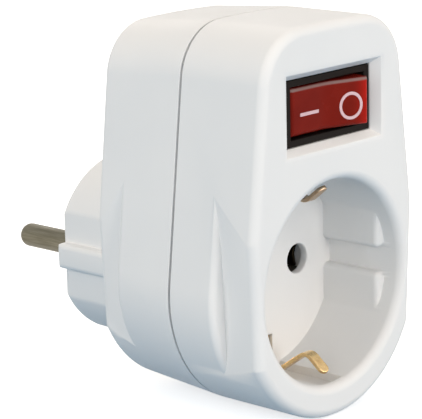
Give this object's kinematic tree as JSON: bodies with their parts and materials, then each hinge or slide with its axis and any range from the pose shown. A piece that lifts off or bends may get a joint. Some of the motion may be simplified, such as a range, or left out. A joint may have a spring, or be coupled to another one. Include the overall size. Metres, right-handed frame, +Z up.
{
  "type": "switched socket adapter",
  "caption": "Earthed plug-in adapter: a round plug with two pins on the back, one earthed socket well on the front and a lit rocker switch above it.",
  "frame": {"origin": "centre of the plug's engagement face, on the axis of the plug and the socket well", "axes": "+Y along the pins towards the wall, +Z up, +X to the right when the socket is seen from the front"},
  "size_m": [0.05, 0.0769, 0.0765],
  "materials": {
    "shell_white": "satin moulded thermoplastic",
    "insulator": "matt moulded thermoset",
    "switch_black": "glossy moulded plastic",
    "rocker_red": "glossy translucent plastic",
    "mark_white": "inlaid plastic",
    "pin_nickel": "nickel-plated brass",
    "contact_brass": "stamped brass",
    "rivet_metal": "bright metal",
    "contact_silver": "silver alloy",
    "screw_steel": "zinc-plated steel",
    "spring_steel": "drawn wire",
    "lamp_glass": "clear glass",
    "lead_tin": "tinned wire",
    "resistor_body": "lacquered",
    "wire_blue": "flexible insulation"
  },
  "bodies": {
    "housing": {"front_shell": "shell_white", "rear_shell": "shell_white", "line_pin": "pin_nickel", "neutral_pin": "pin_nickel", "pin_clamp": "insulator", "line_contact": "contact_brass", "neutral_contact": "contact_brass", "contact_rivets": "rivet_metal", "contact_carrier": "insulator", "line_in_bar": "contact_brass", "line_out_bar": "contact_brass", "neutral_bar": "contact_brass", "earth_bridge": "contact_brass", "earth_rivets": "rivet_metal", "socket_earth_clip_top": "contact_brass", "socket_earth_clip_bottom": "contact_brass", "plug_earth_contact_top": "contact_brass", "plug_earth_contact_bottom": "contact_brass", "case_screws": "screw_steel", "switch_housing": "switch_black", "fixed_button": "contact_silver", "line_in_terminal": "contact_brass", "line_out_terminal": "contact_brass", "lamp_terminal": "contact_brass", "lamp_bulb": "lamp_glass", "lamp_electrodes": "lead_tin", "lamp_holder": "insulator", "lamp_resistor": "resistor_body", "lamp_leads": "lead_tin", "neutral_wire": "wire_blue"},
    "rocker": {"rocker": "rocker_red", "on_mark": "mark_white", "off_mark": "mark_white", "plunger_spring": "spring_steel"},
    "plunger": {"plunger": "insulator"},
    "blade": {"contact_blade": "contact_brass", "blade_button": "contact_silver"}
  },
  "joints": [
    {"name": "rocker_tilt", "type": "hinge", "parent": "housing", "child": "rocker", "pos_m": [0, -0.0521, 0.034], "axis": [0, 0, 1], "range_deg": [0, 16]},
    {"name": "plunger_slide", "type": "slide", "parent": "rocker", "child": "plunger", "axis": [-0.1392, -0.9903, 0], "range_m": [0, 0.0004], "stiffness_N_per_m": 400, "springref_m": -0.0005, "deforming": ["plunger_spring"]},
    {"name": "blade_tilt", "type": "hinge", "parent": "housing", "child": "blade", "pos_m": [0, -0.0429, 0.034], "axis": [0, 0, 1], "range_deg": [-12, 0]}
  ],
  "couplings": [
    {"joint": "blade_tilt", "follows": "rocker_tilt", "ratio": -0.75}
  ]
}
